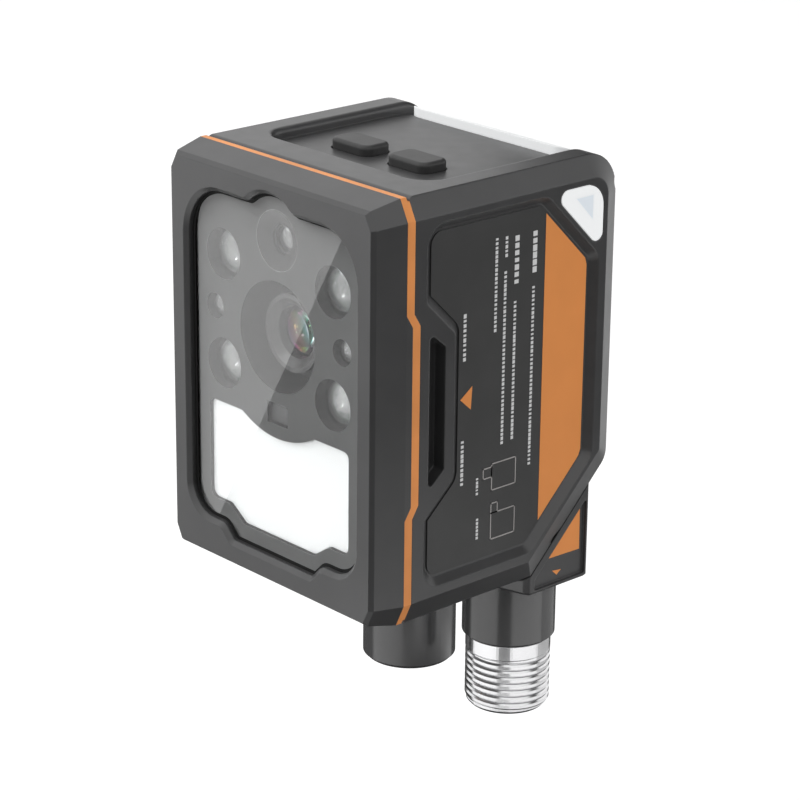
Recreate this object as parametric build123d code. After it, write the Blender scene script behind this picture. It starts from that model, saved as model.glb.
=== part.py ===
from build123d import *
import math
import os

# A compact machine vision camera. While it is being built up, X runs to the
# right as the lens is faced, Y from the front face to the rear, and Z up from
# the middle of the body's height. All sizes are in millimetres.

# Body
body_width = 42.5
body_height = 57.6
body_depth = 43.5
mount_above_mid = 4.2
rear_top_radius = 5.6
cut_leg = 13.95
cut_corner_radius = 3.0
bevel_side = 1.45
bevel_top = 2.85
bevel_bottom = 3.1
bevel_cut = 3.5

# Tapered front and the joint behind it
seam_y = 4.95
face_step = 0.6
taper_side = 0.9
taper_height = 0.95
face_inset = 0.5
seal_width = 1.3
seal_groove = 0.35
jog = 1.05
jog_run = 1.7
jog_half = 12.15

# Window opening
side_rim = 3.65
top_rim = 4.2
low_rim = 5.75
window_tongue = 2.0
tongue_inset = 9.25
window_corner = 7.5
lip = 0.6
pane_front = 1.3
pane_thickness = 0.7
arch_drop = 5.1
arch_radius = 6.95

# Light plate and lamps behind the pane
plate_thickness = 3.05
board_thickness = 1.2
lens_drop = 18.2
well_radius = 7.6
lamp_radius = 3.5
lamp_inset = 6.6
lamp_drop = 9.4
lamp_spacing = 15.2
lamp_cup = 2.1
pilot_radius = 1.8
pilot_inset = 4.8
pilot_cup = 1.6
funnel_radius = 4.1
aimer_radius = 3.2
aimer_setback = 1.4
aimer_length = 9.6
eye_half = 2.1
eye_rise = 1.48
eye_drop = 10.68
eye_rim = 0.7
diffuser_inset = 3.4
diffuser_drop = 12.07
diffuser_margin = 3.05
diffuser_tongue = 2.1
diffuser_arc = 14.1
diffuser_recess = 0.5
diffuser_wall = 0.9
chip_height = 0.5

# Imaging lens
barrel_radius = 5.3
barrel_front = 4.4
lens_stack_y = 9.6
thread_radius = 6.0
glass_radius = 3.6
tube_radius = 2.9
lock_ring = 1.5
holder_wall = 1.75
holder_foot = 17.0
foot_thickness = 2.0
barrel_clear = 4.5
sensor_gap = 5.5
processor_gap = 6.0
rear_gap = 5.5

# Walls and clearances
rear_wall = 3.0
cut_wall = 3.0
side_wall = 3.55
bottom_wall = 2.5
floor_wall = 1.6
cover_wall = 2.55
gap = 0.2
running = 0.05
slack = 0.08

# Top channel, keys and lights
channel_inset = 5.15
channel_front = 12.6
channel_depth = 1.6
channel_corner = 3.5
channel_rim = 0.8
key_inset = 6.7
key_gap = 3.6
key_width = 4.8
key_setback = 8.2
key_proud = 1.43
key_travel = 0.5
key_flange = 0.7
key_board_inset = 4.2
key_stack = 2.9
key_board_thickness = 1.0
bar_front = 0.35
bar_corner = 3.1
bar_sunk = 0.3
bar_end_angle = 60.0
light_depth = 1.1
light_edge = 3.65
light_leg = 9.72

# Side pocket, label and slot
pocket_depth = 1.05
pocket_front = 8.35
pocket_waist = 13.4
label_thickness = 0.2
slot_depth = 2.0

# Fasteners
screw_radius = 1.0
screw_inset = 3.15
screw_drop = 4.8
screw_lift = 4.6
boss_radius = 2.3
head_radius = 1.8
head_height = 1.4
head_sunk = 3.0
mount_spacing_x = 30.0
mount_spacing_z = 20.0
mount_hole_radius = 1.25
mount_hole_depth = 4.9
mount_boss = 3.3

# Boards and the posts between them
stack_inset = 2.7
stack_drop = 5.0
stack_lift = 5.4
post_inset = 2.5
post_radius = 1.7
post_hole = 0.8

# Swivelling connector block
block_inset = 1.45
block_reach = 8.5
block_depth = 5.9
block_bulge = 7.6
block_wall = 1.6
block_floor = 1.2
swivel_setback = 8.5
spigot_radius = 5.6
wire_radius = 3.0
ring_groove = 0.9
flange_radius = 8.2
flange_thickness = 1.8
ear_inset = 6.2
ear_y = -4.2
retainer_radius = 6.6
retainer_thickness = 1.5
stop_radius = 7.1
stop_pin_radius = 0.7
stop_depth = 1.0
connector_inset = 9.55
neck_radius = 5.0
collar_radius = 6.54
collar_length = 9.8
shell_radius = 6.0
shell_length = 10.5
sleeve_radius = 6.78
sleeve_length = 20.2
insert_radius = 4.7
insert_step = 0.5
network_bore = 5.5
pin_radius = 0.5
pin_circle = 1.95
contact_radius = 0.6
contact_circle = 2.75

# Worked out from the sizes above
half_w = body_width / 2
half_h = body_height / 2
slab_half = half_w - bevel_side
joint_y = seam_y + seal_width
cut_sum = body_depth + half_h - cut_leg
arc_y = body_depth - rear_top_radius
arc_z = half_h - rear_top_radius
recess_radius = rear_top_radius - channel_depth
channel_half = half_w - channel_inset
channel_floor = half_h - channel_depth
cavity_half = half_w - side_wall
cavity_top = channel_floor - floor_wall
cavity_low = -half_h + bottom_wall
cavity_rear = body_depth - rear_wall
cover_half = half_w - cover_wall
cover_up = half_h - cover_wall + 0.35
pocket_x = half_w - pocket_depth

window_half = half_w - side_rim
window_up = half_h - top_rim
window_low = half_h - low_rim
tongue_half = window_half - tongue_inset
arch_z = window_up - arch_drop
plate_y = pane_front + pane_thickness
board_y = plate_y + plate_thickness
board_rear = board_y + board_thickness
board_half = cover_half - 0.3
board_up = cover_up - 0.3
lens_z = window_up - lens_drop
lamp_x = window_half - lamp_inset
lamp_high = window_up - lamp_drop
lamp_low = lamp_high - lamp_spacing
pilot_x = window_half - pilot_inset
pilot_z = (lamp_high + lamp_low) / 2
eye_z = lens_z - eye_drop
diffuser_half = window_half - diffuser_inset
diffuser_up = lens_z - diffuser_drop
diffuser_low = window_low - diffuser_margin

io_board_y = cavity_rear - rear_gap
processor_board_y = io_board_y - processor_gap
sensor_board_y = processor_board_y - sensor_gap
barrel_rear = sensor_board_y - barrel_clear
holder_bore = thread_radius + running
holder_radius = holder_bore + holder_wall
stack_half = cavity_half - stack_inset
stack_up = cavity_top - stack_drop
stack_low = io_board_y + board_thickness - cut_sum + cut_wall * math.sqrt(2) + stack_lift

key_length = channel_half - key_gap / 2 - key_inset
key_x = (key_length + key_gap) / 2
key_y = channel_front + key_setback
key_board_x = cavity_half - key_board_inset

swivel_y = body_depth - swivel_setback
swivel_z = swivel_y - cut_sum
spigot_bore = spigot_radius + running
turn_radius = (wire_radius + spigot_radius - ring_groove) / 2
block_half = half_w - block_inset
block_low = swivel_z - swivel_setback
ear_x = block_half - ear_inset
connector_x = block_half - connector_inset
head_y = {True: body_depth - head_sunk, False: swivel_y - 6.5}

swivel = Plane(origin=(0, swivel_y, swivel_z), x_dir=(1, 0, 0), z_dir=(0, 1, -1))
screw_x = half_w - screw_inset
screw_up = half_h - screw_drop
screw_places = [(sx * screw_x, z) for sx in (1, -1) for z in (screw_up, screw_lift - half_h)]
lamp_places = [(sx * lamp_x, z) for z in (lamp_high, lamp_low) for sx in (-1, 1)]
mount_places = [
    (sx * mount_spacing_x / 2, mount_above_mid + sz * mount_spacing_z / 2)
    for sx in (1, -1)
    for sz in (1, -1)
]
post_places = [
    (sx * (stack_half - post_inset), z)
    for sx in (1, -1)
    for z in (stack_up - 3.3, stack_low + 3.2)
]
turn_places = [
    Pos(turn_radius * math.cos(math.radians(a)), turn_radius * math.sin(math.radians(a)))
    for a in (90, 210, 330)
]

made = {}


def keep(name, shape):
    """Hold a finished piece in the frame whose origin is the rear mount."""
    made[name] = Pos(0, -body_depth, -mount_above_mid) * shape


def outline(points, radii):
    """Closed flat face with each corner rounded by its own radius."""
    return make_face(FilletPolyline(*points, radius=radii, close=True))


def at_y(y):
    return Plane.XZ.offset(-y)


def slab(sketch, y0, y1):
    """Solid whose section is drawn in X and Z, from y0 to y1."""
    return extrude(at_y(y0) * sketch, amount=y0 - y1)


def prism(sketch, x0, x1):
    """Solid whose section is drawn in Y and Z, from x0 to x1."""
    return extrude(Plane.YZ.offset(x0) * sketch, amount=x1 - x0)


def box(x0, x1, y0, y1, z0, z1):
    middle = Pos((x0 + x1) / 2, (y0 + y1) / 2, (z0 + z1) / 2)
    return middle * Box(x1 - x0, y1 - y0, z1 - z0)


def rod(radius, length):
    return Cylinder(radius, length, align=(Align.CENTER, Align.CENTER, Align.MIN))


def rod_y(radius, y0, y1, x=0.0, z=0.0):
    return Pos(x, y0, z) * Rot(-90, 0, 0) * rod(radius, y1 - y0)


def rod_z(radius, z0, z1, x=0.0, y=0.0):
    return Pos(x, y, z0) * rod(radius, z1 - z0)


def funnel_y(r0, r1, y0, y1, x=0.0, z=0.0):
    cone = Cone(r0, r1, y1 - y0, align=(Align.CENTER, Align.CENTER, Align.MIN))
    return Pos(x, y0, z) * Rot(-90, 0, 0) * cone


def gather(pieces):
    """Several solids that belong to one node."""
    solids = []
    for piece in pieces:
        solids.extend(piece.solids())
    return Compound(children=solids)


# The body as one lump, before it is divided and hollowed

def octagon(side, up, low, cut_x, cut_up, cut_low):
    right = [(side - cut_x, -low), (side, -low + cut_low), (side, up - cut_up), (side - cut_x, up)]
    left = [(-x, z) for x, z in reversed(right)]
    return outline(right + left, 0)


def side_view(top_in, rear_in, low_in, cut_in, rear_radius, low_radius):
    """Side view of the body behind the joint, drawn in from its full size."""
    rear = body_depth - rear_in
    top = half_h - top_in
    low = -half_h + low_in
    cut = cut_sum - cut_in * math.sqrt(2)
    corners = [(seam_y, low), (cut + low, low), (rear, rear - cut), (rear, top), (seam_y, top)]
    return outline(corners, [0, 0, low_radius, rear_radius, 0])


def body_lump():
    full = side_view(0, 0, 0, 0, rear_top_radius, cut_corner_radius)
    small = side_view(
        bevel_top, bevel_top, bevel_bottom, bevel_cut,
        rear_top_radius - bevel_top, cut_corner_radius - bevel_top + 0.6,
    )
    lump = prism(full, -slab_half, slab_half)
    for sx in (1, -1):
        wide = Plane.YZ.offset(sx * slab_half) * full
        narrow = Plane.YZ.offset(sx * half_w) * small
        lump += loft([wide, narrow], ruled=True)
    at_joint = octagon(half_w, half_h, half_h, bevel_side, bevel_top, bevel_bottom)
    side = half_w - taper_side
    high = half_h - taper_height
    at_step = octagon(side, high, high, bevel_side * 0.8, bevel_top * 0.8, bevel_bottom * 0.8)
    side -= face_inset
    high -= face_inset
    at_face = octagon(side, high, high, bevel_side * 0.7, bevel_top * 0.65, bevel_bottom * 0.65)
    lump += loft([at_y(face_step) * at_step, at_y(seam_y) * at_joint], ruled=True)
    lump += loft([at_y(0) * at_face, at_y(face_step) * at_step], ruled=True)
    return lump


def before_joint(shift):
    """Everything in front of the joint line, which jogs rearwards mid-height."""
    y = seam_y + shift
    far = body_height
    upper = [(y + jog, jog_half), (y, jog_half + jog_run), (y, far), (-far, far)]
    lower = [(a, -b) for a, b in reversed(upper)]
    return prism(outline(lower + upper, 0), -body_width, body_width)


# Outlines of the window, the pane and the diffuser

def tongue_outline(half, up, low, tongue, tongue_x, up_radius, low_radius, run):
    """Rectangle with a shallow step down in the middle of its lower edge."""
    right = [(tongue_x, -low - tongue), (tongue_x + run, -low), (half, -low), (half, up)]
    left = [(-x, z) for x, z in reversed(right)]
    radii = [1.3, 1.3, low_radius, up_radius]
    return outline(right + left, radii + radii[::-1])


def window_outline():
    """Window opening with the small arch over the aimer."""
    sketch = tongue_outline(
        window_half, window_up, window_low, window_tongue,
        tongue_half, window_corner, window_corner * 2 / 3, window_tongue,
    )
    sketch += Pos(0, arch_z) * Circle(arch_radius)
    rise = window_up - arch_z
    shoulder = math.sqrt(arch_radius**2 - rise**2)
    corners = [
        v for v in sketch.vertices()
        if abs(v.Y - window_up) < 0.01 and abs(abs(v.X) - shoulder) < 0.01
    ]
    return fillet(corners, 0.8)


def diffuser_outline():
    sketch = tongue_outline(
        diffuser_half, diffuser_up, diffuser_low, diffuser_tongue,
        tongue_half - 1.2, 1.0, 1.3, diffuser_tongue + 1.0,
    )
    return sketch - Pos(0, lens_z) * Circle(diffuser_arc)


def rectangle(half, up, low, radius):
    return outline([(half, -low), (half, up), (-half, up), (-half, -low)], radius)


# Front cover, pane and seal

def make_front_cover(lump):
    cover = lump & before_joint(0)
    cavity = slab(rectangle(cover_half, cover_up, cover_up, 3.2), pane_front, joint_y + jog)
    for x, z in screw_places:
        cavity -= rod_y(boss_radius, pane_front, joint_y + jog, x, z)
    cover -= cavity
    cover -= slab(offset(window_outline(), -lip), 0, pane_front + gap)
    rim = cover.faces().filter_by(Axis.Y).sort_by(Axis.Y)[0].inner_wires()[0]
    cover = chamfer(rim.edges(), lip)
    for x, z in screw_places:
        cover -= rod_y(screw_radius, seam_y - 3.4, seam_y + gap, x, z)
    keep("front_cover", cover)


def make_front_window():
    half = cover_half - 0.3
    up = cover_up - 0.3
    reach = (boss_radius + gap) * math.sqrt(2)
    leg = half + up - (screw_x + screw_up - reach)
    pane = slab(octagon(half, up, up, leg, leg, leg), pane_front, plate_y)
    keep("front_window", pane)


def make_front_seal(lump):
    ring = (lump & before_joint(seal_width)) - before_joint(0)
    inside = rectangle(slab_half - 0.9, half_h - 1.7, half_h - 1.7, 1.5)
    hollow = slab(inside, 0, joint_y + 2 * jog)
    for x, z in screw_places:
        hollow -= rod_y(boss_radius, 0, joint_y + 2 * jog, x, z)
    ring -= hollow
    for x, z in screw_places:
        ring -= rod_y(screw_radius + gap, 0, joint_y + 2 * jog, x, z)
    for sz in (1, -1):
        groove = Pos(0, joint_y, sz * half_h) * Box(2 * half_w, 2 * seal_groove, 1.0)
        ring -= groove
    keep("front_seal", ring)


# Housing

def light_ring(inner, outer):
    """Slice of a ring round the rear top edge, drawn in Y and Z."""
    reach = 3 * rear_top_radius
    a0 = math.radians(90)
    a1 = math.radians(90 - bar_end_angle)
    mid = (a0 + a1) / 2
    fan = [(0, 0)] + [(reach * math.cos(a), reach * math.sin(a)) for a in (a1, mid, a0)]
    ring = Circle(outer) - Circle(inner)
    return Pos(arc_y, arc_z) * (ring & outline(fan, 0))


def channel_cut():
    """Shallow channel along the top that runs over the rear edge."""
    front = [(-channel_half, channel_front), (channel_half, channel_front)]
    rear = [(channel_half, arc_y), (-channel_half, arc_y)]
    plan = outline(front + rear, [channel_corner, channel_corner, 0, 0])
    cut = Pos(0, 0, channel_floor) * extrude(plan, amount=2 * channel_depth)
    ring = light_ring(recess_radius, rear_top_radius + channel_depth)
    return cut + prism(ring, -channel_half, channel_half)


def round_rim(shape):
    """Round the outer edges of the top channel, over the rear edge too."""
    rim = []
    for edge in shape.edges():
        spot = edge @ 0.5
        if spot.Y > arc_y:
            proud = math.hypot(spot.Y - arc_y, spot.Z - arc_z) - rear_top_radius
        else:
            proud = spot.Z - half_h
        if abs(proud) < 0.001 and abs(spot.X) < channel_half + 0.001:
            rim.append(edge)
    return fillet(rim, channel_rim)


def pocket_outline():
    """Outline of the side pocket, with a waist beside the slot."""
    front = pocket_front
    waist = pocket_waist
    up = half_h - 3.8
    low = -half_h + 4.3
    rear = body_depth - 4.2
    high_sum = rear + up - 9.8
    low_sum = cut_sum - 5.75
    corners = [
        (front, up), (high_sum - up, up), (rear, high_sum - rear), (rear, rear - low_sum),
        (low_sum + low, low), (front, low), (front, -14.6), (waist, -10.0),
        (waist, 9.8), (front, 14.8),
    ]
    return outline(corners, [3.2, 3.0, 3.0, 3.0, 3.0, 3.0, 1.2, 1.2, 1.2, 1.2])


def light_outline():
    """Three-cornered side light."""
    up = half_h - light_edge
    rear = body_depth - light_edge
    corners = [(rear - light_leg, up), (rear, up - light_leg), (rear, up)]
    return outline(corners, [1.2, 1.2, rear_top_radius - 2.3])


def slot_outline():
    top = [(8.95, 10.7), (11.75, 8.4)]
    low = [(a, -b) for a, b in reversed(top)]
    return outline(top + low, 0.5)


def leg_box(grow):
    """The side light's leg through the housing's wall."""
    y0 = body_depth - 6.9
    z0 = half_h - 9.6
    inner = cavity_half - 0.7
    return box(inner, half_w - light_depth, y0 - grow, y0 + 2.6 + grow, z0 - grow, z0 + 2.2 + grow)


def side_cuts():
    """What is cut into the right side: pocket, slot and light seat."""
    inward = Plane(origin=(half_w, 0, 0), x_dir=(0, 1, 0), z_dir=(1, 0, 0))
    deep = offset(pocket_outline(), -pocket_depth)
    cut = loft([inward.offset(-pocket_depth) * deep, inward * pocket_outline()], ruled=True)
    cut += prism(slot_outline(), half_w - slot_depth, half_w + 1)
    cut += prism(light_outline(), half_w - light_depth, half_w + 1)
    cut += leg_box(slack)
    return cut


def cavity_view():
    cut = cut_sum - cut_wall * math.sqrt(2)
    corners = [
        (0, cavity_low), (cut + cavity_low, cavity_low), (cavity_rear, cavity_rear - cut),
        (cavity_rear, cavity_top), (0, cavity_top),
    ]
    return outline(corners, [0, 1.0, 1.0, recess_radius - floor_wall, 0])


def key_hole(sx):
    plan = RectangleRounded(key_length + 0.3, key_width + 0.3, 1.55)
    return Pos(sx * key_x, key_y, cavity_top - 1) * extrude(plan, amount=floor_wall + 2)


def stop_groove():
    """Half-turn groove in the cut face for the stop pin."""
    width = stop_pin_radius + gap
    ring = Circle(stop_radius + width) - Circle(stop_radius - width)
    half = Pos(0, -2 * stop_radius) * Rectangle(4 * stop_radius, 4 * stop_radius)
    groove = ring & half
    for sx in (1, -1):
        groove += Pos(sx * stop_radius, 0) * Circle(width)
    return extrude(swivel.offset(-stop_depth - gap) * groove, amount=2 * stop_depth)


def make_rear_housing(lump):
    housing = lump - before_joint(seal_width)
    housing -= channel_cut()
    housing = round_rim(housing)
    cavity = prism(cavity_view(), -cavity_half, cavity_half)
    for x, z in screw_places:
        cavity -= rod_y(boss_radius, 0, body_depth, x, z)
    for x, z in mount_places:
        cavity -= rod_y(mount_boss, cavity_rear - 2.5, cavity_rear + 1, x, z)
    for sx in (1, -1):
        cavity -= rod_z(1.8, cavity_top - key_stack, cavity_top + 1, sx * key_board_x, key_y)
    housing -= cavity
    right = side_cuts()
    housing -= right
    housing -= mirror(right, about=Plane.YZ)
    for sx in (1, -1):
        housing -= key_hole(sx)
        housing -= rod_z(0.6, cavity_top - key_stack - 1, cavity_top, sx * key_board_x, key_y)
    for x, z in screw_places:
        housing -= rod_y(screw_radius + 0.1, 0, body_depth + 1, x, z)
        housing -= rod_y(head_radius + 0.1, head_y[z > 0], body_depth + 1, x, z)
    for x, z in mount_places:
        hole = rod_y(mount_hole_radius, body_depth - mount_hole_depth, body_depth + 1, x, z)
        housing -= hole
    housing -= extrude(swivel.offset(-2 * cut_wall) * Circle(spigot_bore), amount=3 * cut_wall)
    housing -= stop_groove()
    keep("rear_housing", housing)


def make_cover_screws():
    """Four long screws from the rear, each with a socket in its head."""
    screws = []
    for x, z in screw_places:
        seat = head_y[z > 0]
        screw = rod_y(screw_radius, seam_y - 3.0, seat, x, z)
        screw += rod_y(head_radius, seat, seat + head_height, x, z)
        socket = extrude(RegularPolygon(0.8, 6), amount=head_height)
        screw -= Pos(x, seat + head_height / 2, z) * Rot(-90, 0, 0) * socket
        screws.append(screw)
    keep("cover_screws", gather(screws))


# Light plate and what it carries

def make_light_plate():
    plate = slab(rectangle(board_half, board_up, board_up, 2.8), plate_y, board_y)
    plate += rod_y(well_radius + 0.7, board_y, lens_stack_y - gap, 0, lens_z)
    for x, z in screw_places:
        plate -= rod_y(boss_radius + 0.3, plate_y, board_y, x, z)
    plate -= rod_y(well_radius, plate_y, lens_stack_y, 0, lens_z)
    for x, z in lamp_places:
        plate -= rod_y(lamp_radius, plate_y, plate_y + lamp_cup, x, z)
        plate -= rod_y(lamp_radius - 0.7, plate_y, board_y, x, z)
    for sx in (1, -1):
        x = sx * pilot_x
        plate -= rod_y(pilot_radius, plate_y, plate_y + pilot_cup, x, pilot_z)
        plate -= rod_y(pilot_radius - 0.5, plate_y, board_y, x, pilot_z)
    plate -= funnel_y(funnel_radius, funnel_radius / 2, plate_y, plate_y + 1.0, 0, arch_z)
    plate -= rod_y(funnel_radius / 2, plate_y, board_y, 0, arch_z)
    plate -= rod_y(aimer_radius + running, plate_y + aimer_setback, board_y, 0, arch_z)
    plate -= box(-eye_half, eye_half, plate_y, plate_y + 1.2, eye_z - eye_rise, eye_z + eye_rise)
    plate -= box(
        -eye_half + eye_rim, eye_half - eye_rim, plate_y, board_y,
        eye_z - eye_rise + eye_rim, eye_z + eye_rise - eye_rim,
    )
    plate -= slab(diffuser_outline(), plate_y, board_y)
    keep("light_plate", plate)


def make_light_diffuser():
    """White tray whose face lies a little behind the light plate's."""
    face = plate_y + diffuser_recess
    full = slab(offset(diffuser_outline(), -slack), face, board_y)
    inner = slab(offset(diffuser_outline(), -diffuser_wall), face + diffuser_wall, board_y)
    keep("light_diffuser", full - inner)


def lens_with_dome(radius, thick, dome_radius, rise):
    """Round lens with a domed front, facing -Z, its rear face at z = thick."""
    ball = (dome_radius**2 + rise**2) / (2 * rise)
    cap = Pos(0, 0, ball - rise) * Sphere(ball)
    cap &= Pos(0, 0, -rise) * rod(dome_radius, rise)
    return rod(radius, thick) + cap


def make_led_lenses():
    turn = Rot(-90, 0, 0)
    for i, (x, z) in enumerate(lamp_places):
        lens = lens_with_dome(lamp_radius - running, 0.5, lamp_radius - 0.6, 0.7)
        keep(f"led_lens_{i + 1}", Pos(x, plate_y + lamp_cup - 0.5, z) * turn * lens)
    for name, sx in (("pilot_lens_left", -1), ("pilot_lens_right", 1)):
        lens = lens_with_dome(pilot_radius - running, 0.5, pilot_radius - 0.3, 0.5)
        keep(name, Pos(sx * pilot_x, plate_y + pilot_cup - 0.5, pilot_z) * turn * lens)


def make_distance_sensor():
    y = plate_y + 1.2
    pane = box(
        -eye_half + slack, eye_half - slack, y - 0.6, y,
        eye_z - eye_rise + slack, eye_z + eye_rise - slack,
    )
    keep("distance_window", pane)
    keep("distance_sensor", box(-1.2, 1.2, board_y - 0.7, board_y, eye_z - 0.7, eye_z + 0.7))


def make_aimer():
    """Laser aimer: a brass tube with its lens in the front end."""
    front = plate_y + aimer_setback
    tube = rod_y(aimer_radius, front, front + aimer_length, 0, arch_z)
    tube -= rod_y(1.9, front, front + 0.8, 0, arch_z)
    tube -= rod_y(1.2, front, front + aimer_length - 2, 0, arch_z)
    keep("aimer_barrel", tube)
    lens = lens_with_dome(1.9 - running, 0.4, 1.4, 0.35)
    keep("aimer_lens", Pos(0, front + 0.4, arch_z) * Rot(-90, 0, 0) * lens)


def make_led_board():
    board = slab(rectangle(board_half, board_up, board_up, 1.0), board_y, board_rear)
    for x, z in screw_places:
        board -= rod_y(boss_radius + 0.3, board_y, board_rear, x, z)
    board -= rod_y(well_radius + 0.9, board_y, board_rear, 0, lens_z)
    board -= rod_y(aimer_radius + gap, board_y, board_rear, 0, arch_z)
    keep("led_board", board)
    low = board_y - chip_height
    chips = [box(x - 1.3, x + 1.3, low, board_y, z - 1.3, z + 1.3) for x, z in lamp_places]
    for sx in (1, -1):
        x = sx * pilot_x
        chips.append(box(x - 0.6, x + 0.6, low, board_y, pilot_z - 0.6, pilot_z + 0.6))
    keep("lamp_leds", gather(chips))
    chips = []
    first = lens_z - diffuser_arc - 2.4
    last = 2.3 - diffuser_low
    for row in range(3):
        for column in range(4):
            x = (column - 1.5) * diffuser_half / 2.2
            z = first + (last - first) * row / 2
            chips.append(box(x - 0.8, x + 0.8, low, board_y, z - 0.8, z + 0.8))
    keep("diffuser_leds", gather(chips))


# Imaging lens and boards

def make_lens():
    """Screw-in lens in its holder, with front and rear glass."""
    barrel = rod_y(barrel_radius, barrel_front, lens_stack_y, 0, lens_z)
    barrel += rod_y(thread_radius, lens_stack_y, barrel_rear, 0, lens_z)
    mouth = barrel_front + 0.9
    barrel -= funnel_y(barrel_radius - 0.6, glass_radius, barrel_front, mouth, 0, lens_z)
    barrel -= rod_y(glass_radius, mouth, mouth + 2.0, 0, lens_z)
    barrel -= rod_y(tube_radius, barrel_front, barrel_rear, 0, lens_z)
    barrel -= rod_y(glass_radius, barrel_rear - 2.0, barrel_rear, 0, lens_z)
    keep("lens_barrel", barrel)
    turn = Rot(-90, 0, 0)
    glass = lens_with_dome(glass_radius - running, 0.8, glass_radius - 0.2, 1.1)
    keep("front_lens", Pos(0, mouth + 1.2, lens_z) * turn * glass)
    glass = Rot(180, 0, 0) * lens_with_dome(glass_radius - running, 0.8, glass_radius - 0.4, 0.8)
    keep("rear_lens", Pos(0, barrel_rear - 1.2, lens_z) * turn * glass)
    front = lens_stack_y - lock_ring
    ring = rod_y(holder_radius - 0.4, front, lens_stack_y, 0, lens_z)
    ring -= rod_y(barrel_radius + running, front, lens_stack_y, 0, lens_z)
    keep("lens_lock_ring", ring)
    holder = rod_y(holder_radius, lens_stack_y, sensor_board_y, 0, lens_z)
    foot = holder_foot / 2
    front = sensor_board_y - foot_thickness
    holder += box(-foot, foot, front, sensor_board_y, lens_z - foot, lens_z + foot)
    holder -= rod_y(holder_bore, lens_stack_y, sensor_board_y, 0, lens_z)
    keep("lens_holder", holder)
    chip = box(-4.2, 4.2, sensor_board_y - 1, sensor_board_y, lens_z - 3.7, lens_z + 3.7)
    keep("image_sensor", chip)


def drilled_board(y):
    board = box(-stack_half, stack_half, y, y + board_thickness, stack_low, stack_up)
    for x, z in post_places:
        board -= rod_y(post_hole + gap, y, y + board_thickness, x, z)
    return board


def make_boards():
    """Three boards stacked on posts behind the lamp board."""
    board_ys = (sensor_board_y, processor_board_y, io_board_y)
    for name, y in zip(("sensor_board", "processor_board", "io_board"), board_ys):
        keep(name, drilled_board(y))
    posts = []
    screws = []
    starts = (board_rear,) + tuple(y + board_thickness for y in board_ys[:2])
    for x, z in post_places:
        for y0, y1 in zip(starts, board_ys):
            posts.append(rod_y(post_radius, y0, y1, x, z) - rod_y(post_hole, y0, y1, x, z))
        end = io_board_y + board_thickness
        screw = rod_y(post_hole - running, io_board_y - 3, end, x, z)
        screws.append(screw + rod_y(2 * post_hole, end, end + 1, x, z))
    keep("board_spacers", gather(posts))
    keep("board_screws", gather(screws))
    y = processor_board_y + board_thickness
    z = (stack_up + stack_low) / 2
    keep("processor_chip", box(-5.5, 5.5, y, y + 1.2, z - 5.5, z + 5.5))
    y = io_board_y + board_thickness
    z = stack_up - 1.1
    half = 0.8
    side = stack_half - 1.0
    leds = [box(x - half, x + half, y, y + 1.0, z - half, z + half) for x in (side, -side)]
    leds.append(box(-2 * half, 2 * half, y, y + 1.0, z - half, z + half))
    keep("status_leds", gather(leds))


# Lights that show the camera's state

def make_lights():
    for name, sx in (("side_light_right", 1), ("side_light_left", -1)):
        light = prism(offset(light_outline(), -slack), half_w - light_depth, half_w)
        light += leg_box(0)
        keep(name, light if sx > 0 else mirror(light, about=Plane.YZ))
    half = channel_half - slack
    bar = prism(light_ring(recess_radius, rear_top_radius - bar_sunk), -half, half)
    front = arc_y + bar_front
    corners = [(-half, front), (half, front), (half, body_depth), (-half, body_depth)]
    plan = outline(corners, [bar_corner, bar_corner, 0, 0])
    keep("rear_light", bar & Pos(0, 0, arc_z) * extrude(plan, amount=2 * rear_top_radius))


# Keys on the top and what lies under them

def make_keys():
    flange = key_flange
    cap_top = channel_floor + key_proud
    flange_top = cavity_top - running
    for name, sx in (("button_left", -1), ("button_right", 1)):
        plan = RectangleRounded(key_length, key_width, 1.4)
        key = Pos(0, 0, flange_top - flange) * extrude(plan, amount=cap_top - flange_top + flange)
        key = fillet(key.edges().group_by(Axis.Z)[-1], 0.55)
        wide = RectangleRounded(key_length + 1.5, key_width + 1.5, 1.8)
        key += Pos(0, 0, flange_top - flange) * extrude(wide, amount=flange)
        key += rod_z(1.2, flange_top - flange - 0.25, flange_top)
        keep(name, Pos(sx * key_x, key_y, 0) * key)
    seal_low = cavity_top - key_stack + 0.9
    half = key_x + key_length / 2 + 1.9
    deep = key_width / 2 + 1.8
    tray = box(-half, half, key_y - deep, key_y + deep, seal_low, cavity_top)
    switches = []
    for sx in (1, -1):
        x = sx * key_x
        plan = RectangleRounded(key_length + 2.1, key_width + 2.1, 2.0)
        tray -= Pos(x, key_y, seal_low + 0.4) * extrude(plan, amount=key_stack)
        low = cavity_top - key_stack
        switch = box(x - 1.7, x + 1.7, key_y - 1.7, key_y + 1.7, low, low + 0.6)
        switches.append(switch + rod_z(0.8, low, seal_low, x, key_y))
    keep("key_seal", tray)
    keep("key_switches", gather(switches))
    top = cavity_top - key_stack
    half = key_board_x + 2.2
    deep = key_width / 2 + 1.2
    board = box(-half, half, key_y - deep, key_y + deep, top - key_board_thickness, top)
    screws = []
    for sx in (1, -1):
        x = sx * key_board_x
        board -= rod_z(0.7, top - key_board_thickness, top, x, key_y)
        low = top - key_board_thickness
        screws.append(rod_z(0.55, low, top + 2.2, x, key_y) + rod_z(1.1, low - 0.7, low, x, key_y))
    keep("key_board", board)
    keep("key_board_screws", gather(screws))


# Label in the right pocket

def make_label():
    film = offset(pocket_outline(), -pocket_depth - 0.35)
    keep("side_label", prism(film, pocket_x, pocket_x + label_thickness))


# Connector block, which turns on the cut

def slope_wedge(back):
    """Everything on the block's side of a plane parallel to the cut."""
    reach = 3 * block_bulge
    return extrude(swivel.offset(back) * Rectangle(3 * block_half, 2 * reach), amount=reach)


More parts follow.
